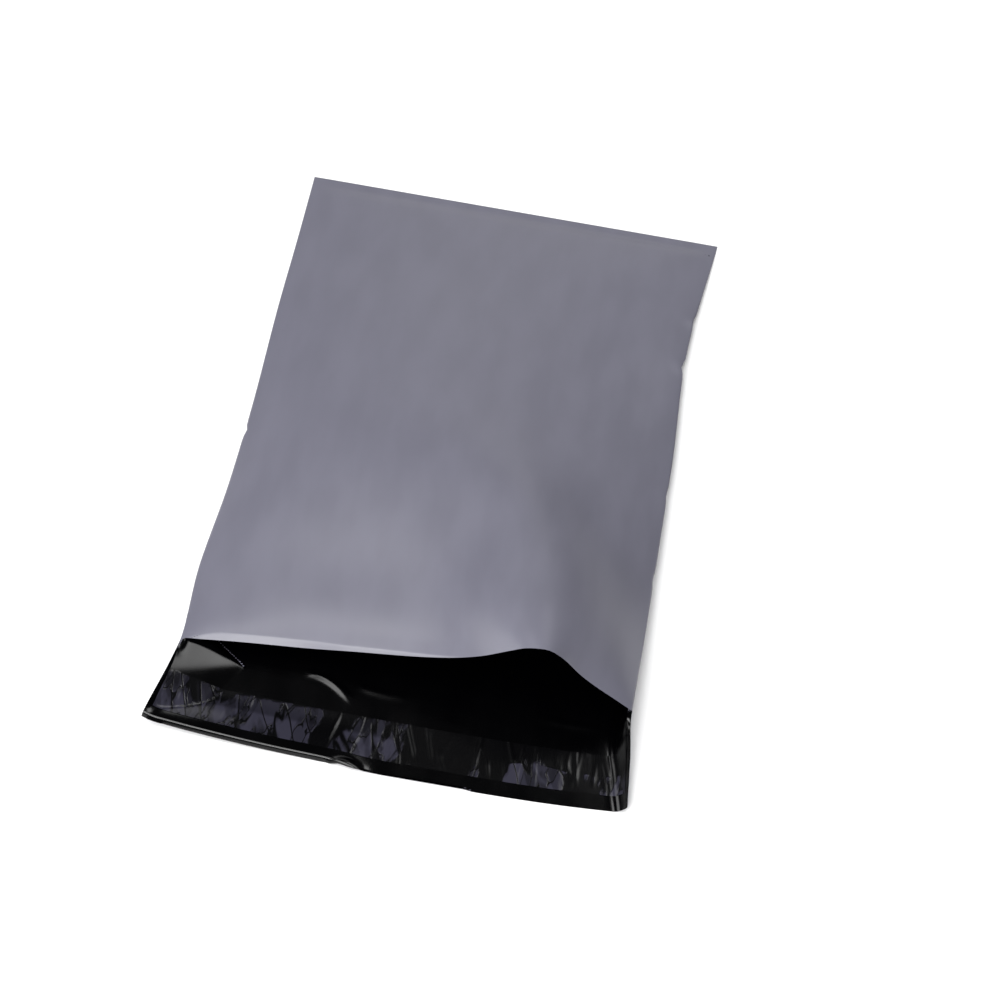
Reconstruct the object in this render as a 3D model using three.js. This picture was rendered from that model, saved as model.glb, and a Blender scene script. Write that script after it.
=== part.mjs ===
// An empty courier bag of co-extruded film, lying open on its back.
// Millimetres, +Z up. The closed end is at +Y and the mouth and its lip are at -Y.
// The origin is on the ground, under the middle of the bag.
import * as THREE from "three";

// Flat sizes
const WIDTH = 250;
const POUCH_LENGTH = 350;
const LIP_LENGTH = 50;
const FILM = 0.08;
const WELD_WIDTH = 3;
const FOLD_WIDTH = 2;
const LINER_WIDTH = 23;
const LINER_MARGIN = 8.5;
const LINER_THICKNESS = 0.05;
const ADHESIVE_WIDTH = 12;
const ADHESIVE_THICKNESS = 0.05;
const CONTACT_GAP = 0.05;

const FULL_LENGTH = POUCH_LENGTH + LIP_LENGTH;
const WELD_SHARE = WELD_WIDTH / WIDTH;
const STRIP_CENTRE = FULL_LENGTH - LINER_MARGIN - LINER_WIDTH / 2;
const LINER_EDGES = [STRIP_CENTRE - LINER_WIDTH / 2, STRIP_CENTRE + LINER_WIDTH / 2];
const ADHESIVE_EDGES = [STRIP_CENTRE - ADHESIVE_WIDTH / 2, STRIP_CENTRE + ADHESIVE_WIDTH / 2];

// How the bag lies. Each table is [distance from the closed end, value].
const LEFT_DRAW_IN = [[0, 0], [54, 2.3], [107, 4.3], [207, 9], [247, 9.6], [300, 8.3], [350, 11.4], [400, 4]];
const RIGHT_DRAW_IN = [[0, 0], [106, 8.3], [184, 6.1], [298, 5.8], [350, 6.2], [375, 3.1], [400, 0.6]];
const LEFT_LIFT = [[0, 0], [60, 2], [107, 4], [207, 6], [300, 7], [350, 9.5], [363, 11.5], [400, 9]];
const RIGHT_LIFT = [[0, 0], [67, 5], [184, 8], [247, 10], [298, 13], [350, 18.5], [375, 12], [400, 7]];
// Ground is left over this distance at each side, where the rear panel climbs to the weld.
const CLIMB = 38;
// The mouth's edge above the line between its corners: [share of the way across, height].
const MOUTH_ARCH = [
  [0, 0], [0.11, 2.9], [0.27, 5], [0.38, 8], [0.49, 11], [0.6, 16.5], [0.66, 22], [0.72, 31],
  [0.76, 36.5], [0.8, 38], [0.83, 34], [0.88, 21], [0.92, 13], [0.96, 6.6], [1, 0],
];
// The even arch of the pouch gives way to the mouth's own arch from here on.
const ARCH_CHANGE_START = 190;
// How much of its full arch the front panel keeps; the film settles flat towards the fold.
const FULLNESS = [[0, 0.14], [60, 0.2], [150, 0.42], [250, 0.75], [330, 1]];
// The lip's free edge stands up on the left: [share of the way across, height].
const LIP_EDGE_LIFT = [[0, 9], [0.1, 6.5], [0.25, 4.2], [0.4, 2.8], [0.46, 0.8], [0.5, 0], [1, 0]];
const LIP_RISE_START = 360;

const ACROSS = [0.05, 0.1, 0.16, 0.24, 0.33, 0.42, 0.5, 0.58, 0.66, 0.72, 0.76, 0.8, 0.84, 0.88, 0.92, 0.96];
const ALONG_POUCH = [15, 35, 65, 100, 140, 180, 220, 255, 285, 310, 332, POUCH_LENGTH];
const ALONG_LIP = [359, LINER_EDGES[0], ...ADHESIVE_EDGES, LINER_EDGES[1], FULL_LENGTH];

const lerp = THREE.MathUtils.lerp;

function tableValue(table, at) {
  const last = table.length - 1;
  if (at >= table[last][0]) return table[last][1];
  const next = table.findIndex(([key]) => key > at);
  const [key0, value0] = table[next - 1];
  const [key1, value1] = table[next];
  return lerp(value0, value1, (at - key0) / (key1 - key0));
}

// The two welds at one station: their places across the bag and their heights.
function weldsAt(along) {
  return {
    left: -WIDTH / 2 + tableValue(LEFT_DRAW_IN, along),
    right: WIDTH / 2 - tableValue(RIGHT_DRAW_IN, along),
    leftLift: tableValue(LEFT_LIFT, along),
    rightLift: tableValue(RIGHT_LIFT, along),
  };
}

function climb(distance) {
  const share = Math.max(0, 1 - distance / CLIMB);
  return share * share;
}

// The underside of the rear panel: flat on the ground, and rising to the welds and the lip's left edge.
function rearPoint(share, along) {
  const { left, right, leftLift, rightLift } = weldsAt(along);
  const x = lerp(left, right, share);
  const weldRise = leftLift * climb(x - left) + rightLift * climb(right - x);
  const outOnLip = THREE.MathUtils.smoothstep(along, LIP_RISE_START, FULL_LENGTH);
  const lipRise = tableValue(LIP_EDGE_LIFT, share) * outOnLip;
  return new THREE.Vector3(x, FULL_LENGTH / 2 - along, Math.max(weldRise, lipRise));
}

// The film doesn't stretch, so welds that are drawn together by (WIDTH - chord) raise an arch this high.
function archRise(chord) {
  return Math.sqrt(0.375 * chord * (WIDTH - chord));
}

// How far the middle of the front panel's wall stands above the rear panel's.
function pouchDepth(share, along) {
  const { left, right, leftLift, rightLift } = weldsAt(along);
  const evenArch = archRise(right - left) * 4 * share * (1 - share) * tableValue(FULLNESS, along);
  const blend = THREE.MathUtils.smoothstep(along, ARCH_CHANGE_START, POUCH_LENGTH);
  const arch = lerp(evenArch, tableValue(MOUTH_ARCH, share), blend);
  return lerp(leftLift, rightLift, share) + arch - rearPoint(share, along).z;
}

// A closed shell made of quads, whose corners are shared by name.
class Shell {
  constructor() {
    this.places = [];
    this.numbers = new Map();
    this.triangles = [];
  }

  corner(name, place) {
    if (!this.numbers.has(name)) {
      this.numbers.set(name, this.places.length);
      this.places.push(place);
    }
    return this.numbers.get(name);
  }

  // Corners run anticlockwise as seen from outside. A quad pinched to a triangle drops one of its two.
  quad(a, b, c, d) {
    for (const triangle of [[a, b, c], [a, c, d]]) {
      if (new Set(triangle).size === 3) this.triangles.push(...triangle);
    }
  }

  // One cell of a grid of corners, split so that the two halves of the grid mirror each other.
  cell(grid, i, j, facesUp, inRightHalf) {
    const loop = [grid(i, j), grid(i + 1, j), grid(i + 1, j + 1), grid(i, j + 1)];
    if (inRightHalf) loop.push(loop.shift());
    const [a, b, c, d] = loop;
    if (facesUp) this.quad(a, d, c, b);
    else this.quad(a, b, c, d);
  }

  geometry() {
    const geometry = new THREE.BufferGeometry();
    const numbers = this.places.flatMap((place) => place.toArray());
    geometry.setAttribute("position", new THREE.Float32BufferAttribute(numbers, 3));
    geometry.setIndex(this.triangles);
    geometry.computeVertexNormals();
    return geometry;
  }
}

// One wall of film for each panel, two where they are welded, and an open mouth.
function bagFilmGeometry() {
  const across = [0, WELD_SHARE, ...ACROSS, 1 - WELD_SHARE, 1];
  const along = [0, FOLD_WIDTH, ...ALONG_POUCH, ...ALONG_LIP];
  const mouth = along.indexOf(POUCH_LENGTH);
  const lastAcross = across.length - 1;
  const lastAlong = along.length - 1;
  const shell = new Shell();

  const joined = (i, j) => i <= 1 || i >= lastAcross - 1 || j <= 1;
  const depth = (i, j) => (joined(i, j) ? FILM : Math.max(FILM, pouchDepth(across[i], along[j])));
  const raised = (i, j, height) => rearPoint(across[i], along[j]).add(new THREE.Vector3(0, 0, height));
  // under: rear panel's underside. over: its upper side. inner and outer: the front panel's two sides.
  const under = (i, j) => shell.corner(`under ${i} ${j}`, raised(i, j, 0));
  const over = (i, j) => shell.corner(`over ${i} ${j}`, raised(i, j, FILM));
  const free = (i, j) => shell.corner(`inner ${i} ${j}`, raised(i, j, depth(i, j)));
  const inner = (i, j) => (joined(i, j) ? over(i, j) : free(i, j));
  const outer = (i, j) => shell.corner(`outer ${i} ${j}`, raised(i, j, depth(i, j) + FILM));

  for (let j = 0; j < lastAlong; j += 1) {
    const inPouch = j < mouth;
    for (let i = 0; i < lastAcross; i += 1) {
      const inCavity = i >= 1 && i < lastAcross - 1 && j >= 1 && inPouch;
      const inRightHalf = across[i] >= 0.5;
      shell.cell(under, i, j, false, inRightHalf);
      if (inCavity || !inPouch) shell.cell(over, i, j, true, inRightHalf);
      if (inCavity) shell.cell(inner, i, j, false, inRightHalf);
      if (inPouch) shell.cell(outer, i, j, true, inRightHalf);
    }
    const levels = inPouch ? [under, over, outer] : [under, over];
    for (let level = 1; level < levels.length; level += 1) {
      const low = levels[level - 1];
      const high = levels[level];
      shell.quad(low(0, j), low(0, j + 1), high(0, j + 1), high(0, j));
      shell.quad(low(lastAcross, j + 1), low(lastAcross, j), high(lastAcross, j), high(lastAcross, j + 1));
    }
  }
  for (let i = 0; i < lastAcross; i += 1) {
    shell.quad(under(i + 1, 0), under(i, 0), over(i, 0), over(i + 1, 0));
    shell.quad(over(i + 1, 0), over(i, 0), outer(i, 0), outer(i + 1, 0));
    shell.quad(inner(i, mouth), inner(i + 1, mouth), outer(i + 1, mouth), outer(i, mouth));
    shell.quad(under(i, lastAlong), under(i + 1, lastAlong), over(i + 1, lastAlong), over(i, lastAlong));
  }
  return shell.geometry();
}

// A flat strip from weld to weld, following the lip at a fixed height above its upper side.
function stripGeometry([nearEdge, farEdge], clearance, thickness) {
  const across = [WELD_SHARE, ...ACROSS, 1 - WELD_SHARE];
  const along = ALONG_LIP.filter((station) => station >= nearEdge && station <= farEdge);
  const lastAcross = across.length - 1;
  const lastAlong = along.length - 1;
  const shell = new Shell();
  const place = (i, j, height) => rearPoint(across[i], along[j]).add(new THREE.Vector3(0, 0, height));
  const low = (i, j) => shell.corner(`low ${i} ${j}`, place(i, j, FILM + clearance));
  const high = (i, j) => shell.corner(`high ${i} ${j}`, place(i, j, FILM + clearance + thickness));
  for (let i = 0; i < lastAcross; i += 1) {
    for (let j = 0; j < lastAlong; j += 1) {
      shell.cell(low, i, j, false, across[i] >= 0.5);
      shell.cell(high, i, j, true, across[i] >= 0.5);
    }
    shell.quad(low(i + 1, 0), low(i, 0), high(i, 0), high(i + 1, 0));
    shell.quad(low(i, lastAlong), low(i + 1, lastAlong), high(i + 1, lastAlong), high(i, lastAlong));
  }
  for (let j = 0; j < lastAlong; j += 1) {
    shell.quad(low(0, j), low(0, j + 1), high(0, j + 1), high(0, j));
    shell.quad(low(lastAcross, j + 1), low(lastAcross, j), high(lastAcross, j), high(lastAcross, j + 1));
  }
  return shell.geometry();
}

function piece(name, geometry, color, roughness) {
  const material = new THREE.MeshStandardMaterial({ color, roughness, metalness: 0 });
  const mesh = new THREE.Mesh(geometry, material);
  mesh.name = name;
  return mesh;
}

const linerClearance = CONTACT_GAP + ADHESIVE_THICKNESS + CONTACT_GAP;
const group = new THREE.Group();
const adhesive = stripGeometry(ADHESIVE_EDGES, CONTACT_GAP, ADHESIVE_THICKNESS);
const liner = stripGeometry(LINER_EDGES, linerClearance, LINER_THICKNESS);
group.add(piece("bag_film", bagFilmGeometry(), 0x7a7987, 0.35));
group.add(piece("adhesive_strip", adhesive, 0x2c2b30, 0.3));
group.add(piece("release_liner", liner, 0x4a4954, 0.3));

export default group;
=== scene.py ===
"""An empty courier bag of grey polythene, black inside, lying open on its back."""

import logging
import math
from dataclasses import dataclass
from enum import Enum

import bpy
import numpy as np
from mathutils import Matrix, Vector


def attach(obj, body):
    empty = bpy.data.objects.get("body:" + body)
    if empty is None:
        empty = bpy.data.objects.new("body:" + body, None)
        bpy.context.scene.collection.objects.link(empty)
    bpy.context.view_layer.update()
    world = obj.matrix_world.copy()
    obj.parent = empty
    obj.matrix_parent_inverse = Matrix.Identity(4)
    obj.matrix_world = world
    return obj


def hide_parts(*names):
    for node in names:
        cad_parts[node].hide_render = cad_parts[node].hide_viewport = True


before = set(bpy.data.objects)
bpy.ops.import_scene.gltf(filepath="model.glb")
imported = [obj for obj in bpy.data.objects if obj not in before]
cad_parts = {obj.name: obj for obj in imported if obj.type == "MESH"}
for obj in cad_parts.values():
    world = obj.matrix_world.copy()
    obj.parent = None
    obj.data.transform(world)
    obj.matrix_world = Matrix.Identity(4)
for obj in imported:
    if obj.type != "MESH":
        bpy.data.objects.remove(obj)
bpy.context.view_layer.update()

MM = 0.001
FILM = 0.08  # the thickness of the film, in millimetres
LOG = logging.getLogger("mailer")

Array = np.ndarray
Table = tuple[tuple[float, float], ...]


# ---- shader helpers


class Wire:
    """A shader socket that can be used in Python expressions of numbers."""

    def __init__(self, nodes: "NodeMaker", socket: bpy.types.NodeSocket) -> None:
        """Wraps a socket.

        Args:
            nodes: The maker that adds the Math nodes.
            socket: The output socket to wrap.
        """
        self.nodes = nodes
        self.socket = socket

    def _math(self, operation: str, *values: "Wire | float") -> "Wire":
        """Adds one Math node.

        Args:
            operation: The Math node's operation.
            values: The node's inputs in order.

        Returns:
            The node's result.
        """
        inputs = dict(enumerate(values))
        return self.nodes.add("ShaderNodeMath", {"operation": operation}, inputs)

    def __add__(self, other: "Wire | float") -> "Wire":
        """Adds a number."""
        return self._math("ADD", self, other)

    __radd__ = __add__

    def __mul__(self, other: "Wire | float") -> "Wire":
        """Multiplies by a number."""
        return self._math("MULTIPLY", self, other)

    __rmul__ = __mul__

    def __sub__(self, other: "Wire | float") -> "Wire":
        """Takes a number away."""
        return self._math("SUBTRACT", self, other)

    def __rsub__(self, other: "Wire | float") -> "Wire":
        """Is taken away from a number."""
        return self._math("SUBTRACT", other, self)

    def size(self) -> "Wire":
        """Drops the sign."""
        return self._math("ABSOLUTE", self)

    def step(self, low: float, high: float) -> "Wire":
        """Rises smoothly from 0 at low to 1 at high.

        Args:
            low: Where the rise starts.
            high: Where it ends.

        Returns:
            The share from 0 to 1.
        """
        settings = {"interpolation_type": "SMOOTHSTEP"}
        inputs = {"Value": self, "From Min": low, "From Max": high}
        return self.nodes.add("ShaderNodeMapRange", settings, inputs)


class NodeMaker:
    """Adds nodes to one tree."""

    def __init__(self, tree: bpy.types.NodeTree) -> None:
        """Takes the tree.

        Args:
            tree: A material's tree or a geometry group.
        """
        self.tree = tree

    def node(self, kind: str, settings: dict | None = None, inputs: dict | None = None) -> bpy.types.Node:
        """Adds a node of any kind.

        Args:
            kind: The node's type name.
            settings: Its properties, set first.
            inputs: Values or wires for its sockets, by name or number.

        Returns:
            The new node.
        """
        node = self.tree.nodes.new(kind)
        for key, value in (settings or {}).items():
            setattr(node, key, value)
        for key, value in (inputs or {}).items():
            if isinstance(value, Wire):
                self.tree.links.new(value.socket, node.inputs[key])
            else:
                node.inputs[key].default_value = value
        return node

    def add(self, kind: str, settings: dict | None = None, inputs: dict | None = None,
            output: str | int = 0) -> Wire:
        """Adds a node and gives one of its outputs.

        Args:
            kind: As for node.
            settings: As for node.
            inputs: As for node.
            output: The output socket to give.

        Returns:
            The output as a wire.
        """
        return Wire(self, self.node(kind, settings, inputs).outputs[output])

    def mix(self, share: Wire | float, low: Wire | tuple, high: Wire | tuple) -> Wire:
        """Mixes two colours.

        Args:
            share: 0 for low, 1 for high.
            low: The first colour.
            high: The second colour.

        Returns:
            The mixed colour.
        """
        inputs = {0: share, 6: low, 7: high}
        return self.add("ShaderNodeMix", {"data_type": "RGBA"}, inputs, output=2)


class MaterialMaker(NodeMaker):
    """Makes one material."""

    def __init__(self, name: str) -> None:
        """Starts a material with an empty tree.

        Args:
            name: The material's name.
        """
        self.material = bpy.data.materials.new(name)
        self.material.use_nodes = True
        super().__init__(self.material.node_tree)
        self.tree.nodes.clear()

    def finish(self, surface: Wire) -> bpy.types.Material:
        """Links a shader to the material's output.

        Args:
            surface: The shader.

        Returns:
            The finished material.
        """
        self.node("ShaderNodeOutputMaterial", None, {"Surface": surface})
        return self.material


# ---- finishes


@dataclass(frozen=True)
class FilmFinish:
    """One side of the co-extruded film: smooth polythene with faint flow marks."""

    name: str
    color: tuple[float, float, float]
    roughness: float
    specular: float
    mark_depth: float

    def material(self) -> bpy.types.Material:
        """Makes the material.

        Returns:
            The finished material.
        """
        nodes = MaterialMaker(self.name)
        flat = nodes.add("ShaderNodeUVMap", {"uv_map": "flat"})
        stretch = nodes.add("ShaderNodeMapping", None, {"Vector": flat, "Scale": (1.0, 0.35, 1.0)})
        flow = nodes.add("ShaderNodeTexNoise", None, {"Vector": stretch, "Scale": 60.0, "Detail": 3.0})
        fine = nodes.add("ShaderNodeTexNoise", None, {"Vector": flat, "Scale": 900.0, "Detail": 2.0})
        dark = tuple(0.96 * c for c in self.color) + (1.0,)
        light = tuple(min(1.0, 1.04 * c) for c in self.color) + (1.0,)
        base = nodes.mix(flow.step(0.3, 0.7), dark, light)
        rough = flow.step(0.2, 0.8) * 0.06 + (self.roughness - 0.03)
        height = flow * 0.8 + fine * 0.2
        bump = nodes.add("ShaderNodeBump", None,
                         {"Height": height, "Strength": 0.5, "Distance": self.mark_depth})
        shader = nodes.add("ShaderNodeBsdfPrincipled", None, {
            "Base Color": base, "Roughness": rough, "Normal": bump,
            "IOR": 1.51, "Specular IOR Level": self.specular,
        })
        return nodes.finish(shader)


@dataclass(frozen=True)
class AdhesiveFinish:
    """The pressure-sensitive adhesive: black and glossy, slightly uneven."""

    name: str
    color: tuple[float, float, float]
    roughness: float

    def material(self) -> bpy.types.Material:
        """Makes the material.

        Returns:
            The finished material.
        """
        nodes = MaterialMaker(self.name)
        flat = nodes.add("ShaderNodeUVMap", {"uv_map": "flat"})
        waves = nodes.add("ShaderNodeTexNoise", None, {"Vector": flat, "Scale": 200.0, "Detail": 2.0})
        bump = nodes.add("ShaderNodeBump", None, {"Height": waves, "Strength": 0.4, "Distance": 0.0001})
        shader = nodes.add("ShaderNodeBsdfPrincipled", None, {
            "Base Color": (*self.color, 1.0), "Roughness": self.roughness, "Normal": bump, "IOR": 1.5})
        return nodes.finish(shader)


@dataclass(frozen=True)
class LinerFinish:
    """The release film: black over the adhesive, with grey patches of painted reflection where its wrinkles
    would catch the light.
    """

    name: str
    held: tuple[float, float, float]
    # The grey of the painted reflection, not a colour of the film itself.
    painted_reflection: tuple[float, float, float]
    roughness: float
    near: float = 0.3685
    width: float = 0.023

    def material(self) -> bpy.types.Material:
        """Makes the material.

        Returns:
            The finished material.
        """
        nodes = MaterialMaker(self.name)
        flat = nodes.add("ShaderNodeUVMap", {"uv_map": "flat"})
        place = nodes.node("ShaderNodeSeparateXYZ", None, {"Vector": flat})
        across, along = Wire(nodes, place.outputs["X"]), Wire(nodes, place.outputs["Y"])
        down = (along - self.near) * (1.0 / self.width)
        slant = nodes.add("ShaderNodeCombineXYZ", None, {"X": across - along * 0.35, "Y": along * 0.22})
        other = nodes.add("ShaderNodeCombineXYZ", None, {"X": across + along * 0.15, "Y": along * 0.3})
        veins = nodes.add("ShaderNodeTexNoise", None, {"Vector": slant, "Scale": 85.0, "Detail": 1.0})
        fans = nodes.add("ShaderNodeTexNoise", None, {"Vector": other, "Scale": 120.0, "Detail": 2.0})
        cloud = nodes.add("ShaderNodeTexNoise", None, {"Vector": other, "Scale": 55.0, "Detail": 5.0})
        block = nodes.add("ShaderNodeTexVoronoi", None, {"Vector": slant, "Scale": 150.0})
        gaps = (veins - 0.5).size().step(0.006, 0.03) * (fans - 0.45).size().step(0.004, 0.02)
        right = across.step(-0.035, 0.03)
        lower = across.step(0.052, 0.066) * down.step(0.45, 0.55)
        ragged = (down + cloud * 0.7 - 0.36).step(0.0, 0.06)
        # Painted reflection: grey patches where the liner's wrinkles would mirror the light, split by black
        # cracks, fewer on the right.
        reflection_spread = cloud - right * 0.17 + lower * 0.15 + down * 0.05
        painted_reflection_mask = reflection_spread.step(0.45, 0.49) * gaps * ragged
        tone = block.step(0.4, 0.5) * 0.35 + fans.step(0.47, 0.53) * 0.3
        strength = painted_reflection_mask * (tone + 0.3) * (down.step(0.38, 0.5) * 0.5 + 0.5)
        # Base colour: the liner's black with the painted reflection grey laid over it.
        base = nodes.mix(strength, (*self.held, 1.0), (*self.painted_reflection, 1.0))
        height = painted_reflection_mask * 0.3 + veins * 0.5 + cloud * 0.3
        bump = nodes.add("ShaderNodeBump", None, {"Height": height, "Strength": 0.6, "Distance": 0.0004})
        shader = nodes.add("ShaderNodeBsdfPrincipled", None, {
            "Base Color": base, "Roughness": self.roughness, "Normal": bump, "IOR": 1.45,
            "Specular IOR Level": 0.35})
        return nodes.finish(shader)


class Finish(Enum):
    """The bag's named finishes."""

    OUTSIDE = FilmFinish("film_outside", (0.132, 0.131, 0.166), 0.36, 0.5, 0.00003)
    INSIDE = FilmFinish("film_inside", (0.0003, 0.0003, 0.0005), 0.16, 0.35, 0.00002)
    ADHESIVE = AdhesiveFinish("adhesive", (0.001, 0.001, 0.0012), roughness=0.25)
    # The liner's second, grey colour is painted reflection of light, not its own colour.
    LINER = LinerFinish("liner", held=(0.0005, 0.0005, 0.0008), painted_reflection=(0.027, 0.026, 0.040), roughness=0.22)


# ---- how the film lies


def table_value(table: Table, at: Array | float) -> Array | float:
    """Reads a table of given points along a smooth curve.

    Args:
        table: Pairs of place and value, in rising order of place.
        at: The places to read.

    Returns:
        The values there.
    """
    keys, values = (np.array(column, dtype=float) for column in zip(*table))
    gaps = np.diff(keys)
    slopes = np.diff(values) / gaps
    tangents = np.zeros_like(values)
    same_sign = slopes[1:] * slopes[:-1] > 0
    low, high = gaps[:-1], gaps[1:]
    weights = (2 * high + low, high + 2 * low)
    inner = (weights[0] + weights[1]) / (
        weights[0] / np.where(same_sign, slopes[:-1], 1) + weights[1] / np.where(same_sign, slopes[1:], 1))
    tangents[1:-1] = np.where(same_sign, inner, 0.0)
    tangents[0], tangents[-1] = slopes[0], slopes[-1]
    at = np.clip(at, keys[0], keys[-1])
    cell = np.clip(np.searchsorted(keys, at, side="right") - 1, 0, len(gaps) - 1)
    t = (at - keys[cell]) / gaps[cell]
    start, end = values[cell], values[cell + 1]
    rise_in, rise_out = tangents[cell] * gaps[cell], tangents[cell + 1] * gaps[cell]
    return (start * (1 + 2 * t) * (1 - t) ** 2 + rise_in * t * (1 - t) ** 2
            + end * t * t * (3 - 2 * t) - rise_out * t * t * (1 - t))


def even_steps(path: Array, count: int) -> Array:
    """Spreads points evenly along a path.

    Args:
        path: The path's points.
        count: How many points to give.

    Returns:
        The evenly spaced points.
    """
    run = np.concatenate([[0.0], np.cumsum(np.linalg.norm(np.diff(path, axis=0), axis=1))])
    at = np.linspace(0.0, run[-1], count)
    return np.stack([np.interp(at, run, path[:, axis]) for axis in range(3)], axis=1)


@dataclass
class Lie:
    """How the welds, the mouth and the lip lie, in millimetres from the closed end."""

    width: float = 250.0
    pouch: float = 350.0
    lip: float = 50.0
    fold_height: float = 0.3
    lift_from: float = 372.0
    left_draw_in: Table = ((0, 0), (54, 2.3), (107, 4.3), (207, 9), (247, 9.6), (300, 8.3), (350, 11.4),
                           (400, 4))
    right_draw_in: Table = ((0, 0), (106, 8.3), (184, 6.1), (298, 5.8), (350, 6.2), (375, 3.1), (400, 0.6))
    left_lift: Table = ((0, 0.3), (60, 2), (107, 4), (207, 6), (300, 7), (350, 9.5), (363, 11.5), (400, 9))
    right_lift: Table = ((0, 0.3), (67, 5), (184, 8), (247, 10), (298, 13), (350, 18.5), (375, 12), (400, 7))
    mouth_arch: Table = ((0, 0), (0.11, 2.9), (0.27, 5), (0.38, 8), (0.49, 11), (0.6, 16.5), (0.66, 22),
                         (0.72, 31), (0.76, 36.5), (0.8, 38), (0.83, 34), (0.88, 21), (0.92, 13),
                         (0.96, 6.6), (1, 0))
    mouth_pull_back: Table = ((0, 0), (0.1, 1.2), (0.3, 2.7), (0.5, 3.6), (0.7, 3.5), (0.9, 1.9), (1, 0))
    fullness: Table = ((0, 0.14), (60, 0.2), (150, 0.42), (250, 0.75), (330, 1), (400, 1))
    lip_edge_lift: Table = ((0, 9), (0.1, 6.5), (0.25, 4.2), (0.4, 2.8), (0.46, 0.8), (0.5, 0.1), (1, 0.1))

    @property
    def length(self) -> float:
        """The whole length, lip included."""
        return self.pouch + self.lip

    def weld(self, side: int, along: Array) -> Array:
        """The line of one weld and of the lip's edge beyond it.

        Args:
            side: -1 for the left, 1 for the right.
            along: Distances from the closed end, in even steps.

        Returns:
            The points of the line.
        """
        draw_in = table_value(self.left_draw_in if side < 0 else self.right_draw_in, along)
        z = table_value(self.left_lift if side < 0 else self.right_lift, along)
        x = side * (self.width / 2 - draw_in)
        run = np.diff(along) ** 2 - np.diff(x) ** 2 - np.diff(z) ** 2
        y = self.length / 2 - np.concatenate([[0.0], np.cumsum(np.sqrt(run))])
        return np.stack([x, y, z], axis=1)

    def mouth(self, start: Array, end: Array, count: int) -> Array:
        """The front panel's free edge.

        Args:
            start: The mouth's left corner.
            end: Its right corner.
            count: How many points to give.

        Returns:
            The edge's points, evenly spaced.
        """
        share = np.linspace(0.0, 1.0, 400)[:, None]
        path = start + (end - start) * share
        path[:, 2] += table_value(self.mouth_arch, share[:, 0])
        path[:, 1] += table_value(self.mouth_pull_back, share[:, 0])
        return even_steps(path, count)

    def ground(self, along: Array, share: Array) -> Array:
        """The lowest the rear panel can lie; its free edge stands up a little on the left.

        Args:
            along: Distances from the closed end.
            share: The columns' places across the bag, from 0 to 1.

        Returns:
            The least height at each point.
        """
        edge = table_value(self.lip_edge_lift, share)
        near = smooth(along, self.lift_from, self.length - self.lift_from)
        return FILM / 2 + near[:, None] * edge[None, :]

    def rows(self) -> Array:
        """The rows of the finished mesh: closer together towards the mouth and the lip's edge."""
        spans = [(0, 320, 4), (320, 340, 1), (340, 350, 0.625), (350, 392.5, 1), (392.5, 400, 0.625)]
        return np.concatenate([*(np.arange(*span) for span in spans), [self.length]])

    def columns(self) -> Array:
        """The columns of the finished mesh: closer together on the left, where the crease is."""
        spans = [(0, 110, 1.25), (110, 247.5, 2.5)]
        return np.concatenate([*(np.arange(*span) for span in spans), [247.5, 248.75, self.width]])


def smooth(at: Array, start: float = 0.0, run: float = 1.0) -> Array:
    """Rises smoothly from 0 to 1.

    Args:
        at: The places.
        start: Where the rise starts.
        run: Its length.

    Returns:
        The height of the rise.
    """
    share = np.clip((at - start) / run, 0.0, 1.0)
    return share * share * (3 - 2 * share)


def roll_edge(panel: Array, along: Array, depth: Array, bend: Array) -> None:
    """Rolls a panel's free edge down past a crease, without stretching it.

    Args:
        panel: The panel, its last row being the free edge; it is changed.
        along: The rows' distances along the film.
        depth: For each column, how far before the edge the crease runs.
        bend: For each column, the turn in radians, made over 1 mm.
    """
    steps = np.diff(panel, axis=0)
    normals = grid_normals(panel)
    normals = (normals[1:] + normals[:-1]) / 2
    past = (along[1:] + along[:-1])[:, None] / 2 - along[-1] + depth[None, :]
    angle = (bend * smooth(past))[..., None]
    size = np.linalg.norm(steps, axis=-1, keepdims=True)
    turned = steps * np.cos(angle) - normals * size * np.sin(angle)
    panel[1:] = panel[0] + np.cumsum(turned, axis=0)


@dataclass(frozen=True)
class LiftedFacet:
    """The flat three-cornered part of the rear panel that the left weld pulls up at the mouth."""

    tip: tuple[float, float] = (-80.3, -153.9)
    crease_turn: float = 158.6
    border_turn: float = 207.7
    slope: float = 0.27
    drop_behind: float = 0.9
    drop_before: float = 0.2
    tip_height: float = 0.6
    softness: float = 1.5

    def raise_film(self, rear: Array) -> None:
        """Lifts the rear panel onto the facet, between a sharp crease behind and a soft border before it.

        Args:
            rear: The rear panel; it is changed.
        """
        offset = rear[..., :2] - np.array(self.tip)
        crease, border = math.radians(self.crease_turn), math.radians(self.border_turn)
        behind = offset @ np.array([math.sin(crease), -math.cos(crease)])
        before = offset @ np.array([-math.sin(border), math.cos(border)])
        height = self.tip_height - self.slope * offset[..., 0] - self.drop_behind * np.maximum(behind, 0.0)
        height -= self.drop_before * self.softness * np.logaddexp(0.0, before / self.softness)
        rear[..., 2] = np.maximum(rear[..., 2], height)


@dataclass(frozen=True)
class SoftRidge:
    """A low, rounded crease in the rear panel."""

    start: tuple[float, float]
    middle: tuple[float, float]
    end: tuple[float, float]
    height: float
    width: float
    steps: int = 40

    def raise_film(self, rear: Array) -> None:
        """Adds the ridge to the rear panel.

        Args:
            rear: The rear panel; it is changed.
        """
        t = np.linspace(0.0, 1.0, self.steps)[:, None]
        start, middle, end = (np.array(p) for p in (self.start, self.middle, self.end))
        path = start * (1 - t) ** 2 + 2 * middle * t * (1 - t) + end * t * t
        away = np.linalg.norm(rear[..., None, :2] - path, axis=-1)
        nearest = away.argmin(axis=-1)
        taper = np.sin(math.pi * np.linspace(0.0, 1.0, self.steps)) ** 0.5
        rear[..., 2] += self.height * taper[nearest] * np.exp(-(away.min(axis=-1) / self.width) ** 2)


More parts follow.
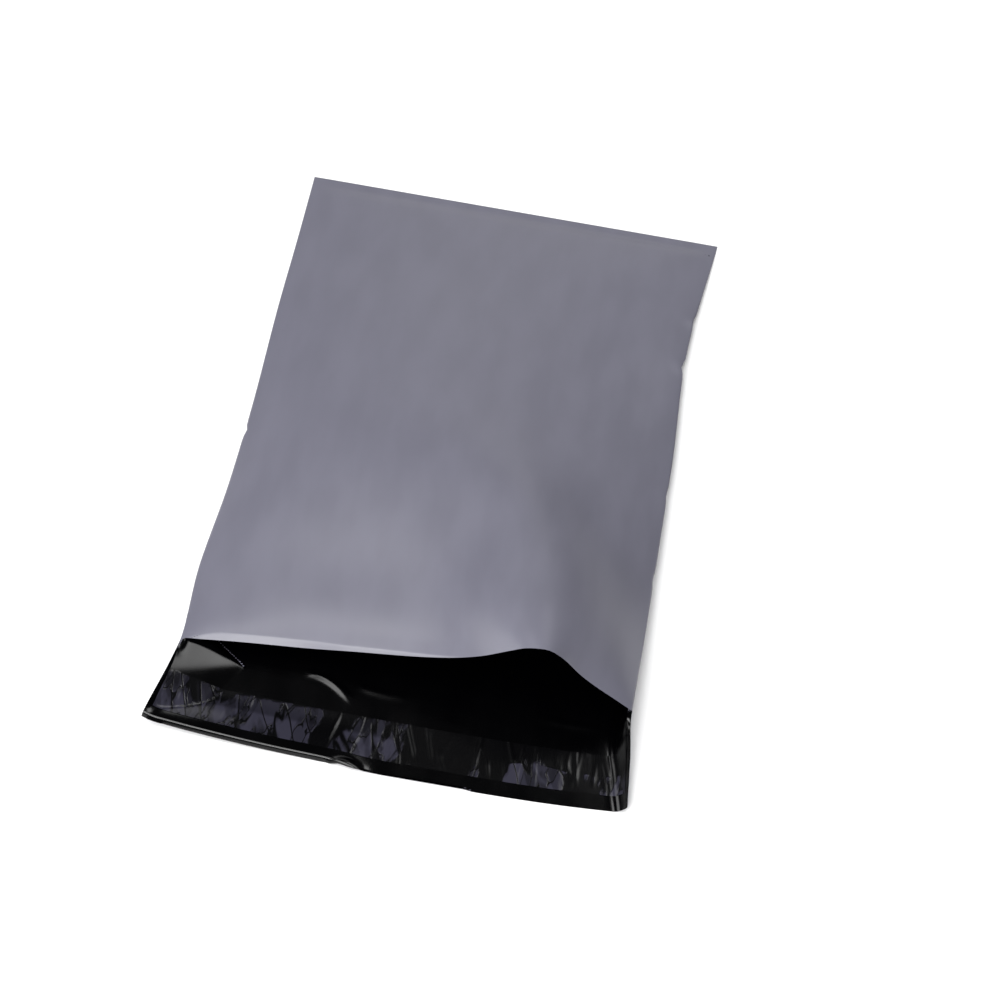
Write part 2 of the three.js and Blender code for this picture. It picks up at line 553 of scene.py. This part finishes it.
@dataclass(frozen=True)
class Pucker:
    """A pinch in a weld, drawn in and lifted."""

    side: int
    along: float
    inward: float
    lift: float
    reach: float = 4.0
    depth: float = 6.0

    def pinch(self, panel: Array, along: Array) -> None:
        """Draws the panel's edge in and lifts it.

        Args:
            panel: The panel; it is changed.
            along: The rows' distances along the film.
        """
        edge = panel[:, :1] if self.side < 0 else panel[:, -1:]
        in_from_edge = np.abs(panel[..., 0] - edge[..., 0])
        past = along[:len(panel), None] - self.along
        share = np.exp(-(past / self.reach) ** 2 - (in_from_edge / self.depth) ** 2)
        panel[..., 0] -= self.side * self.inward * share
        panel[..., 2] += self.lift * share


PUCKERS = (Pucker(1, 107, 1.6, 1.2), Pucker(1, 69, 0.8, 0.8), Pucker(-1, 208, 1.2, 1.0, 3.0),
           Pucker(1, 203, 0.7, 0.6), Pucker(1, 262, 0.7, 0.7))
RIDGES = (SoftRidge((-48.0, -151.0), (-36.0, -148.0), (-21.0, -163.5), 0.6, 1.9),
          SoftRidge((-20.0, -152.5), (-8.0, -156.0), (6.0, -154.0), 0.35, 2.2),
          SoftRidge((72.0, -151.0), (88.0, -153.5), (106.0, -151.0), 0.35, 2.2),
          SoftRidge((-26.0, -203.0), (-16.0, -196.0), (-8.0, -203.0), 1.5, 3.0))
MOUTH_ROLL: Table = ((0, 0), (0.012, 0), (0.04, 2.8), (0.09, 4.9), (0.15, 4.9), (0.26, 4.3), (0.34, 3.3),
                     (0.42, 2.8), (0.49, 2.1), (0.56, 1.1), (0.63, 0), (1, 0))
MOUTH_BEND: Table = ((0, 0.6), (0.1, 0.45), (0.3, 0.36), (1, 0.36))
LIP_ROLL: Table = ((0, 3.4), (0.38, 3.4), (0.44, 0.6), (0.46, 1.6), (0.66, 2.2), (0.69, 0), (1, 0))
LIP_TURNS_OVER = 0.45  # the share of the width where the lip stops rolling down and rolls up
LIP_BENDS = (1.1, -0.6)


class Sheet:
    """A grid of points of film that can bend but hardly stretch."""

    def __init__(self, points: Array, step: float) -> None:
        """Takes the grid as it starts.

        Args:
            points: Rows along the bag, columns across it.
            step: The flat distance between rows and between columns.
        """
        self.points = points
        slant = math.hypot(step, step)
        self.links = [((1, 0), step), ((0, 1), step), ((1, 1), slant), ((1, -1), slant)]

    def _pull(self, shift: tuple[int, int], rest: float, parity: int) -> None:
        """Brings every second pair of neighbours back to their flat distance.

        Args:
            shift: The step from one point of a pair to the other.
            rest: Their flat distance.
            parity: Which half of the pairs to move.
        """
        down, side = shift
        grid = self.points if side >= 0 else self.points[:, ::-1]
        side = abs(side)
        rows, columns = grid.shape[:2]
        if down:
            first = grid[parity:rows - 1:2, :columns - side]
            second = grid[parity + 1:rows:2, side:]
        else:
            first = grid[:, parity:columns - 1:2]
            second = grid[:, parity + 1:columns:2]
        gap = second - first
        size = np.sqrt((gap * gap).sum(-1, keepdims=True))
        gap *= 0.5 * (1.0 - rest / size)
        first += gap
        second -= gap

    def tighten(self) -> None:
        """Runs over all the links once."""
        for shift, rest in self.links:
            for parity in (0, 1):
                self._pull(shift, rest, parity)

    def stiffen(self, amount: float) -> None:
        """Takes out sharp bends.

        Args:
            amount: The share of each bend to take out.
        """
        grid = self.points
        for axis in (0, 1):
            view = grid if axis == 0 else grid.transpose(1, 0, 2)
            bend = view[:-2] - 2 * view[1:-1] + view[2:]
            view[1:-1] += amount * 0.5 * bend
            view[:-2] -= amount * 0.25 * bend
            view[2:] -= amount * 0.25 * bend


def resample(grid: Array, rows: Array, columns: Array) -> Array:
    """Reads a grid between its points along smooth curves.

    Args:
        grid: The grid.
        rows: The rows to read, counted in the grid's rows.
        columns: The columns to read.

    Returns:
        The new grid.
    """
    for axis, at in ((0, rows), (1, columns)):
        view = np.moveaxis(grid, axis, 0)
        view = np.concatenate([2 * view[:1] - view[1:2], view, 2 * view[-1:] - view[-2:-1]])
        cell = np.clip(at.astype(int), 0, len(view) - 4)
        t = (at - cell)[:, None, None]
        a, b, c, d = (view[cell + shift] for shift in range(4))
        view = b + 0.5 * t * (c - a + t * (2 * a - 5 * b + 4 * c - d + t * (3 * (b - c) + d - a)))
        grid = np.moveaxis(view, 0, axis)
    return np.ascontiguousarray(grid)


def between(grid: Array) -> Array:
    """Halves a grid's steps.

    Args:
        grid: The coarse grid.

    Returns:
        The grid with a new point between each two.
    """
    rows, columns = grid.shape[:2]
    return resample(grid, np.arange(0, rows - 0.75, 0.5), np.arange(0, columns - 0.75, 0.5))


@dataclass
class Bag:
    """Relaxes both panels of the bag from a rough shape to how the film really lies."""

    lie: Lie
    coarse_step: float = 5.0
    coarse_rounds: int = 500
    coarse_stiffness: float = 0.22
    fine_rounds: int = 160
    fine_stiffness: float = 0.25
    last_rounds: int = 4
    sag: float = 0.03
    rise: float = 0.015
    climb: float = 38.0
    waves: int = 5
    wave_height: float = 4.0
    press: float = 0.85
    seed: int = 7

    def relax(self) -> tuple[Array, Array]:
        """Finds the shape.

        Returns:
            The front panel's and the rear panel's middle surfaces, on the finished mesh's rows and columns.
        """
        front, rear = self._rough()
        front, rear = self._settle(front, rear, self.coarse_step, self.coarse_rounds, self.coarse_stiffness)
        front, rear = between(front), between(rear)
        step = self.coarse_step / 2
        front, rear = self._settle(front, rear, step, self.fine_rounds, self.fine_stiffness)
        rows, columns = self.lie.rows(), self.lie.columns()
        front = resample(front, rows[rows <= self.lie.pouch] / step, columns / step)
        rear = resample(rear, rows / step, columns / step)
        self._crease(front, rear, rows)
        return front, rear

    def _crease(self, front: Array, rear: Array, rows: Array) -> None:
        """Adds the creases, pinches and rolled edges.

        Args:
            front: The front panel; it is changed.
            rear: The rear panel; it is changed.
            rows: The rows' distances along the film.
        """
        share = self.lie.columns() / self.lie.width
        fullness = table_value(self.lie.fullness, rows)[:len(front)]
        chord = front[:, :1, 2] + (front[:, -1:, 2] - front[:, :1, 2]) * share
        front[..., 2] = chord + (front[..., 2] - chord) * fullness[:, None]
        from_left, from_right = rear[..., 0] - rear[:, :1, 0], rear[:, -1:, 0] - rear[..., 0]
        press = smooth(from_left, start=9, run=14) * smooth(from_right, start=1.5, run=8)
        press = press * smooth(rows[:, None], start=300, run=40)
        rear[..., 2] = np.maximum(rear[..., 2] * (1 - self.press * press), self.lie.ground(rows, share))
        LiftedFacet().raise_film(rear)
        for ridge in RIDGES:
            ridge.raise_film(rear)
        for pucker in PUCKERS:
            pucker.pinch(front, rows)
            pucker.pinch(rear, rows)
        roll_edge(front, rows[:len(front)], table_value(MOUTH_ROLL, share), table_value(MOUTH_BEND, share))
        bend = np.where(share < LIP_TURNS_OVER, *LIP_BENDS)
        roll_edge(rear, rows, table_value(LIP_ROLL, share), bend)
        rear[..., 2] = np.maximum(rear[..., 2], FILM / 2)

    def _rough(self) -> tuple[Array, Array]:
        """Sets both panels between the welds, the front one arched.

        Returns:
            The front and the rear panel.
        """
        lie = self.lie
        along = np.arange(0.0, lie.length + 0.1, self.coarse_step)
        share = np.linspace(0.0, 1.0, round(lie.width / self.coarse_step) + 1)[None, :, None]
        left, right = (lie.weld(side, along)[:, None, :] for side in (-1, 1))
        rear = left + (right - left) * share
        from_left = (rear[..., 0] - left[..., 0]) / self.climb
        from_right = (right[..., 0] - rear[..., 0]) / self.climb
        rear[..., 2] = (left[..., 2] * np.clip(1 - from_left, 0, 1) ** 2
                        + right[..., 2] * np.clip(1 - from_right, 0, 1) ** 2)
        rng = np.random.default_rng(self.seed)
        s = share[..., 0]
        for _ in range(self.waves):
            where, lean, phase = rng.uniform(0.2, 0.8), rng.uniform(-0.25, 0.25), rng.uniform(0, 6.28)
            wide = rng.uniform(0.05, 0.09)
            line = where + lean * (along[:, None] / lie.length - 0.5)
            line = line + 0.03 * np.sin(along[:, None] / 50 + phase)
            inside = np.clip((lie.pouch - along[:, None]) / 60, 0.1, 1)
            tall = self.wave_height * inside
            rear[..., 2] += tall * np.exp(-((s - line) / wide) ** 2) * np.sin(math.pi * s)
        rows = round(lie.pouch / self.coarse_step) + 1
        chord = np.linalg.norm(right - left, axis=-1)[:rows]
        arch = np.sqrt(0.375 * chord * np.maximum(lie.width - chord, 0.0)) * 4 * s * (1 - s)
        front = (left + (right - left) * share)[:rows]
        mouth = lie.mouth(left[rows - 1, 0], right[rows - 1, 0], front.shape[1])
        blend = smooth(along[:rows, None], start=190, run=160)
        mouth_rise = (mouth[:, 2] - front[-1, :, 2])[None, :]
        front[..., 2] += arch * (1 - blend) + mouth_rise * blend
        front[..., 0] += (mouth[:, 0] - front[-1, :, 0])[None, :] * blend
        front[..., 1] += (mouth[:, 1] - front[-1, :, 1])[None, :] * blend
        return front, rear

    def _settle(self, front: Array, rear: Array, step: float, rounds: int,
                stiffness: float) -> tuple[Array, Array]:
        """Tightens the film between its welds, over the ground.

        Args:
            front: The front panel.
            rear: The rear panel.
            step: The grid's step.
            rounds: How often to go over the grid.
            stiffness: How much of each bend is taken out.

        Returns:
            The front and the rear panel.
        """
        lie = self.lie
        along = np.arange(0.0, lie.length + step / 4, step)
        welds = [lie.weld(side, along) for side in (-1, 1)]
        rows, columns = front.shape[:2]
        mouth = lie.mouth(welds[0][rows - 1], welds[1][rows - 1], columns)
        ground = lie.ground(along, np.linspace(0.0, 1.0, columns))
        fold = np.stack([np.linspace(-lie.width / 2, lie.width / 2, columns),
                         np.full(columns, lie.length / 2), np.full(columns, lie.fold_height)], axis=1)
        sheets = [Sheet(front, step), Sheet(rear, step)]
        for turn in range(rounds + self.last_rounds):
            fade = max(0.0, 1 - turn / rounds)
            rear[..., 2] -= self.sag * fade
            front[..., 2] += self.rise * fade
            for sheet in sheets:
                if turn < rounds:
                    sheet.tighten()
                sheet.stiffen(stiffness)
            for column, weld in zip((0, -1), welds):
                seam = 0.5 * (front[:, column] + rear[:rows, column])
                seam += 0.5 * (weld[:rows] - seam)
                front[:, column] = rear[:rows, column] = seam
                rear[rows:, column] += 0.3 * (weld[rows:] - rear[rows:, column])
            front[-1] += 0.35 * (mouth - front[-1])
            front[0] = rear[0] = fold
            rear[..., 2] = np.maximum(rear[..., 2], ground)
            inside = slice(1, -1)
            front[1:, inside, 2] = np.maximum(front[1:, inside, 2], rear[1:rows, inside, 2] + FILM)
        return front, rear


# ---- meshes


def grid_normals(grid: Array) -> Array:
    """Finds the upward normals of a grid.

    Args:
        grid: The grid's points.

    Returns:
        One unit normal a point.
    """
    across = np.gradient(grid, axis=1)
    along = np.gradient(grid, axis=0)
    normal = np.cross(along, across)
    return normal / np.linalg.norm(normal, axis=-1, keepdims=True)


class Shell:
    """Gathers grids of corners and their quads into one mesh."""

    def __init__(self) -> None:
        """Starts with nothing."""
        self.places: list[Array] = []
        self.flats: list[Array] = []
        self.quads: list[Array] = []
        self.slots: list[Array] = []
        self.count = 0

    def corners(self, grid: Array, flat: Array) -> Array:
        """Adds a grid of corners.

        Args:
            grid: The places, in millimetres.
            flat: The same corners on the flat film.

        Returns:
            The corners' numbers, shaped as the grid.
        """
        numbers = np.arange(self.count, self.count + grid[..., 0].size).reshape(grid.shape[:-1])
        self.places.append(grid.reshape(-1, 3))
        self.flats.append(flat.reshape(-1, 2))
        self.count += numbers.size
        return numbers

    def faces(self, numbers: Array, up: bool, slot: int, keep: Array | None = None) -> None:
        """Adds the quads of a grid of corner numbers.

        Args:
            numbers: The corner numbers.
            up: Whether the faces look up.
            slot: Their material slot.
            keep: Which cells to add, or none for all.
        """
        loop = [numbers[:-1, :-1], numbers[1:, :-1], numbers[1:, 1:], numbers[:-1, 1:]]
        if not up:
            loop.reverse()
        quads = np.stack(loop, axis=-1)
        quads = quads[keep] if keep is not None else quads.reshape(-1, 4)
        self.quads.append(quads)
        self.slots.append(np.full(len(quads), slot))

    def piece(self, name: str, materials: list[bpy.types.Material],
              smooth_angle: float = 50.0) -> bpy.types.Object:
        """Makes the Blender object.

        Args:
            name: The piece's name.
            materials: Its materials in slot order.
            smooth_angle: Edges sharper than this many degrees stay sharp.

        Returns:
            The new object.
        """
        places = np.concatenate(self.places) * MM
        flats = np.concatenate(self.flats) * MM
        faces = [list(dict.fromkeys(quad)) for quad in np.concatenate(self.quads).tolist()]
        mesh = bpy.data.meshes.new(name)
        mesh.from_pydata(places.tolist(), [], faces)
        mesh.polygons.foreach_set("material_index", np.concatenate(self.slots).astype(np.int32))
        mesh.polygons.foreach_set("use_smooth", np.ones(len(faces), dtype=bool))
        layer = mesh.uv_layers.new(name="flat")
        numbers = np.empty(len(mesh.loops), dtype=np.int32)
        mesh.loops.foreach_get("vertex_index", numbers)
        layer.data.foreach_set("uv", flats[numbers].ravel())
        mesh.set_sharp_from_angle(angle=math.radians(smooth_angle))
        for material in materials:
            mesh.materials.append(material)
        mesh.validate()
        piece = bpy.data.objects.new(name, mesh)
        bpy.context.scene.collection.objects.link(piece)
        return piece


# ---- the pieces


@dataclass
class BagFilm:
    """The folded and welded web: front panel, rear panel and lip in one piece."""

    front: Array
    rear: Array
    lie: Lie
    weld_columns: int = 2
    weld_fade: float = 10.0
    lip_fade: float = 12.0
    fold_fade: float = 14.0

    def build(self) -> bpy.types.Object:
        """Makes the closed shell of film, open at the mouth.

        Returns:
            The piece.
        """
        rows, columns = self.front.shape[:2]
        weld = self.weld_columns
        half = FILM / 2
        flat = np.stack(np.meshgrid(self.lie.columns() - self.lie.width / 2, self.lie.rows()), axis=-1)
        up_front, up_rear = grid_normals(self.front), grid_normals(self.rear)
        fade = smooth(1 - (self.lie.rows()[rows:] - self.lie.pouch) / self.lip_fade)[:, None, None]
        shift = self.front - up_rear[:rows] * FILM - self.rear[:rows]
        across, numbers = self.lie.columns(), np.arange(self.front.shape[1])
        for depth, held in ((across, np.minimum(numbers, weld)),
                            (self.lie.width - across, np.maximum(numbers, numbers[-1] - weld))):
            follow = shift[:, held] * smooth(1 - (depth - across[weld]) / self.weld_fade)[None, :, None]
            self.rear[:rows] += follow
            self.rear[rows:] += follow[-1:] * fade
        doubled = self.rear[:rows] + up_rear[:rows] * FILM
        past_fold = smooth(self.lie.rows()[:rows] / self.fold_fade)[:, None, None]
        self.front[:] = doubled + (self.front - doubled) * past_fold
        self.front[:2] = doubled[:2]
        self.front[..., 2] = np.maximum(self.front[..., 2], doubled[..., 2])
        shell = Shell()
        outer = shell.corners(self.front + up_front * half, flat[:rows])
        under = shell.corners(self.rear - up_rear * half, flat)
        over = shell.corners(self.rear + up_rear * half, flat)
        inner = shell.corners(self.front - up_front * half, flat[:rows])
        inner[:, :weld + 1] = over[:rows, :weld + 1]
        inner[:, -weld - 1:] = over[:rows, -weld - 1:]
        inner[:2] = over[:2]
        open_cells = np.zeros((self.rear.shape[0] - 1, columns - 1), dtype=bool)
        open_cells[1:rows - 1, weld:columns - 1 - weld] = True
        lip_cells = open_cells.copy()
        lip_cells[rows - 1:] = True
        shell.faces(outer, True, 0)
        shell.faces(under, False, 0)
        shell.faces(over, True, 1, lip_cells)
        shell.faces(inner, False, 1, open_cells[:rows - 1])
        for column, left in ((0, True), (-1, False)):
            shell.faces(np.stack([outer[:, column], over[:rows, column]]), left, 0)
            shell.faces(np.stack([over[:, column], under[:, column]]), left, 0)
        shell.faces(np.stack([outer[0], over[0]]), False, 0)
        shell.faces(np.stack([over[0], under[0]]), False, 0)
        shell.faces(np.stack([outer[-1], inner[-1]]), True, 0)
        shell.faces(np.stack([over[-1], under[-1]]), True, 1)
        return shell.piece("bag_film_skin", [Finish.OUTSIDE.value.material(), Finish.INSIDE.value.material()])


@dataclass
class Strip:
    """A thin strip laid across the lip from weld to weld."""

    rear: Array
    lie: Lie
    near: float
    far: float
    thickness: float = 0.05
    clearance: float = 0.07
    wrinkles: int = 0
    wrinkle_height: float = 0.0
    rows: int = 7
    columns: int = 120
    side_gap: float = 3.2
    seed: int = 3

    def build(self, name: str, finish: Finish) -> bpy.types.Object:
        """Makes the strip.

        Args:
            name: The piece's name.
            finish: What it is made of.

        Returns:
            The piece.
        """
        across = np.linspace(self.side_gap, self.lie.width - self.side_gap, self.columns)
        along = np.linspace(self.near, self.far, self.rows)
        row_number = np.interp(along, self.lie.rows(), np.arange(len(self.lie.rows())))
        column_number = np.interp(across, self.lie.columns(), np.arange(len(self.lie.columns())))
        surface = resample(self.rear, row_number, column_number)
        up = grid_normals(surface)
        lower = surface + up * (self.clearance + self._loose(across, along)[..., None])
        flat = np.stack(np.meshgrid(across - self.lie.width / 2, along), axis=-1)
        shell = Shell()
        top, bottom = shell.corners(lower + up * self.thickness, flat), shell.corners(lower, flat)
        shell.faces(top, True, 0)
        shell.faces(bottom, False, 0)
        for column, left in ((0, True), (-1, False)):
            shell.faces(np.stack([top[:, column], bottom[:, column]]), left, 0)
        shell.faces(np.stack([top[0], bottom[0]]), False, 0)
        shell.faces(np.stack([top[-1], bottom[-1]]), True, 0)
        return shell.piece(name, [finish.value.material()], 70.0)

    def _loose(self, across: Array, along: Array) -> Array:
        """How far the strip stands off the film: narrow wrinkles running across it.

        Args:
            across: The columns' places across the bag.
            along: The rows' places along it.

        Returns:
            The height at each point.
        """
        rng = np.random.default_rng(self.seed)
        height = np.zeros((len(along), len(across)))
        down = (along - self.near)[:, None]
        ease, middle = 4, 11
        for _ in range(self.wrinkles):
            place, lean = rng.uniform(4, self.lie.width - 4), rng.normal(0.0, 0.22)
            wide, tall = rng.uniform(0.5, 1.4), rng.uniform(0.3, 1.0) * self.wrinkle_height
            tall *= 1 - 0.6 * place / self.lie.width
            start, end = sorted(rng.uniform(-8, 31, 2))
            reach = smooth((down - start) / ease) * smooth((end - down) / ease)
            height += reach * tall * np.exp(-((across[None, :] - place - lean * (down - middle)) / wide) ** 2)
        return np.minimum(height, 1.5 * self.wrinkle_height)


@dataclass(frozen=True)
class Flecks:
    """Short sharp creases scattered over the liner by Geometry Nodes."""

    density: float = 12000.0
    seed: int = 11
    middle: float = -0.03
    reach: float = 0.055
    size: tuple[float, float, float] = (0.0002, 0.0036, 0.00014)
    turn: float = 0.45

    def scatter(self, piece: bpy.types.Object) -> None:
        """Adds the creases to the piece's mesh.

        Args:
            piece: The liner, its first material being the one to use.
        """
        group = bpy.data.node_groups.new("liner creases", "GeometryNodeTree")
        _, density, seed = (
            group.interface.new_socket(name=name, in_out="INPUT", socket_type="NodeSocket" + kind)
            for name, kind in (("Geometry", "Geometry"), ("Density", "Float"), ("Seed", "Int")))
        group.interface.new_socket(name="Geometry", in_out="OUTPUT", socket_type="NodeSocketGeometry")
        self._join(NodeMaker(group), piece.data.materials[0])
        modifier = piece.modifiers.new("creases", "NODES")
        modifier.node_group = group
        modifier[density.identifier] = self.density
        modifier[seed.identifier] = self.seed
        graph = bpy.context.evaluated_depsgraph_get()
        plain = bpy.data.meshes.new_from_object(piece.evaluated_get(graph))
        piece.modifiers.remove(modifier)
        piece.data = plain

    def _scattered(self, nodes: NodeMaker, mesh: Wire, density: Wire, seed: Wire) -> Wire:
        """Puts a crease at random places on the upper side of one stretch of the strip.

        Args:
            nodes: Where to add the nodes.
            mesh: The strip.
            density: How many creases to a square metre.
            seed: What the places and turns follow from.

        Returns:
            The creases as instances.
        """
        place = nodes.add("ShaderNodeSeparateXYZ", None, {0: nodes.add("GeometryNodeInputPosition")}, "X")
        facing = nodes.add("ShaderNodeSeparateXYZ", None, {0: nodes.add("GeometryNodeInputNormal")}, "Z")
        above = nodes.add("FunctionNodeCompare", {"data_type": "FLOAT", "operation": "GREATER_THAN"},
                          {0: facing, 1: 0.8})
        near = nodes.add("FunctionNodeCompare", {"data_type": "FLOAT", "operation": "EQUAL"},
                         {0: place, 1: self.middle, "Epsilon": self.reach})
        chosen = nodes.add("FunctionNodeBooleanMath", {"operation": "AND"}, {0: above, 1: near})
        spots = nodes.node("GeometryNodeDistributePointsOnFaces", None, {
            "Mesh": mesh, "Selection": chosen, "Density": density, "Seed": seed})
        turn = nodes.add("FunctionNodeRandomValue", {"data_type": "FLOAT_VECTOR"},
                         {0: (0.0, 0.0, -self.turn), 1: (0.0, 0.0, self.turn), "Seed": seed})
        yaw = nodes.add("FunctionNodeEulerToRotation", None, {0: turn})
        rotation = nodes.add("FunctionNodeRotateRotation", {"rotation_space": "LOCAL"},
                             {0: Wire(nodes, spots.outputs["Rotation"]), 1: yaw})
        scale = nodes.add("FunctionNodeRandomValue", {"data_type": "FLOAT_VECTOR"},
                          {0: (0.6, 0.15, 0.5), 1: (1.0, 1.0, 1.0), "Seed": seed})
        crease = nodes.add("GeometryNodeMeshCube", None, {"Size": self.size}, "Mesh")
        return nodes.add("GeometryNodeInstanceOnPoints", None, {
            "Points": Wire(nodes, spots.outputs["Points"]), "Instance": crease,
            "Rotation": rotation, "Scale": scale})

    def _join(self, nodes: NodeMaker, material: bpy.types.Material) -> None:
        """Fills the group: the strip and its creases become one mesh of one material.

        Args:
            nodes: Where to add the nodes.
            material: The liner's material.
        """
        source = nodes.node("NodeGroupInput")
        mesh, density, seed = (Wire(nodes, source.outputs[name]) for name in ("Geometry", "Density", "Seed"))
        both = nodes.node("GeometryNodeJoinGeometry", None, {0: self._scattered(nodes, mesh, density, seed)})
        nodes.tree.links.new(mesh.socket, both.inputs[0])
        real = nodes.add("GeometryNodeRealizeInstances", None, {0: Wire(nodes, both.outputs[0])})
        painted = nodes.add("GeometryNodeSetMaterial", None, {"Geometry": real, "Material": material})
        nodes.node("NodeGroupOutput", None, {0: painted})


# ---- studio


@dataclass
class Studio:
    """The floor, the soft lights and the camera."""

    azimuth: float = 5.16
    elevation: float = 52.7
    distance: float = 1.165
    target: tuple[float, float, float] = (0.0296, -0.0191, 0.0)
    roll: float = 6.16
    focal: float = 76.64

    def build(self) -> None:
        """Makes everything that isn't part of the bag."""
        self._camera()
        self._floor()
        self._lights()

    def _camera(self) -> None:
        """Places the camera."""
        azimuth, elevation, roll = (math.radians(a) for a in (self.azimuth, self.elevation, self.roll))
        back = Vector((math.sin(azimuth) * math.cos(elevation), -math.cos(azimuth) * math.cos(elevation),
                       math.sin(elevation)))
        right = Vector((math.cos(azimuth), math.sin(azimuth), 0.0))
        up = back.cross(right)
        tilted_right = math.cos(roll) * right + math.sin(roll) * up
        tilted_up = math.cos(roll) * up - math.sin(roll) * right
        camera = bpy.data.objects.new("camera", bpy.data.cameras.new("camera"))
        camera.data.lens = self.focal
        camera.data.sensor_width = 36.0
        turn = Matrix((tilted_right, tilted_up, back)).transposed().to_4x4()
        camera.matrix_world = Matrix.Translation(Vector(self.target) + back * self.distance) @ turn
        bpy.context.scene.collection.objects.link(camera)
        bpy.context.scene.camera = camera

    def _floor(self) -> None:
        """Lays a plain pale floor."""
        nodes = MaterialMaker("floor")
        shader = nodes.add("ShaderNodeBsdfPrincipled", None, {
            "Base Color": (0.9, 0.9, 0.9, 1.0), "Roughness": 0.9, "Specular IOR Level": 0.1})
        mesh = bpy.data.meshes.new("floor")
        far = 6.0
        mesh.from_pydata([(-far, -far, 0), (far, -far, 0), (far, far, 0), (-far, far, 0)], [], [(0, 1, 2, 3)])
        mesh.materials.append(nodes.finish(shader))
        floor = bpy.data.objects.new("floor", mesh)
        bpy.context.scene.collection.objects.link(floor)

    def _lights(self) -> None:
        """Hangs the soft lights."""
        self._softbox("overhead", 0, 74, 2.2, (1.2, 1.2), 36)
        self._softbox("front", -22, 41, 2.4, (1.3, 0.9), 46)
        self._softbox("left", -90, 25, 2.4, (1.4, 0.8), 14)
        self._softbox("back left", 240, 66, 2.4, (0.7, 0.7), 9)
        self._softbox("back", 187, 20, 2.4, (1.4, 0.6), 4)
        self._softbox("back right", 150, 55, 2.4, (0.7, 0.5), 6)
        world = bpy.data.worlds.new("studio")
        world.use_nodes = True
        background = world.node_tree.nodes["Background"].inputs
        background["Color"].default_value = (1, 1, 1, 1)
        background["Strength"].default_value = 0.03
        bpy.context.scene.world = world
        bpy.context.scene.view_settings.view_transform = "Standard"

    def _softbox(self, name: str, azimuth: float, elevation: float, distance: float,
                 size: tuple[float, float], power: float) -> None:
        """Adds one area light that faces the bag.

        Args:
            name: Its name.
            azimuth: Its direction round the bag in degrees, 0 from the mouth's side.
            elevation: Its height in degrees.
            distance: How far off it is.
            size: Its width and height.
            power: Its power in watts.
        """
        a, e = math.radians(azimuth), math.radians(elevation)
        back = Vector((math.sin(a) * math.cos(e), -math.cos(a) * math.cos(e), math.sin(e)))
        light = bpy.data.lights.new(name, "AREA")
        light.shape = "RECTANGLE"
        light.size, light.size_y = size
        light.energy = power
        lamp = bpy.data.objects.new(name, light)
        turn = back.to_track_quat("Z", "Y").to_matrix().to_4x4()
        lamp.matrix_world = Matrix.Translation(back * distance) @ turn
        bpy.context.scene.collection.objects.link(lamp)


def main() -> None:
    """Builds the bag and its surroundings."""
    logging.basicConfig(level=logging.INFO, format="%(name)s %(message)s")
    Studio().build()
    lie = Lie()
    front, rear = Bag(lie).relax()
    film = BagFilm(front, rear, lie).build()
    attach(film, "root")
    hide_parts("bag_film")
    size = (lie.width - 2 * Strip.side_gap) * MM
    adhesive = Strip(rear, lie, near=374.0, far=386.0, clearance=0.09).build(
        "adhesive_coat", Finish.ADHESIVE)
    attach(adhesive, "root")
    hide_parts("adhesive_strip")
    liner = Strip(rear, lie, near=368.5, far=391.5, clearance=0.2, wrinkles=90, wrinkle_height=0.3,
                  rows=15, columns=480).build("liner_tape", Finish.LINER)
    Flecks().scatter(liner)
    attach(liner, "root")
    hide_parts("release_liner")
    for piece in (film, adhesive, liner):
        LOG.info("%s: %d faces", piece.name, len(piece.data.polygons))


if __name__ == "__main__":
    main()
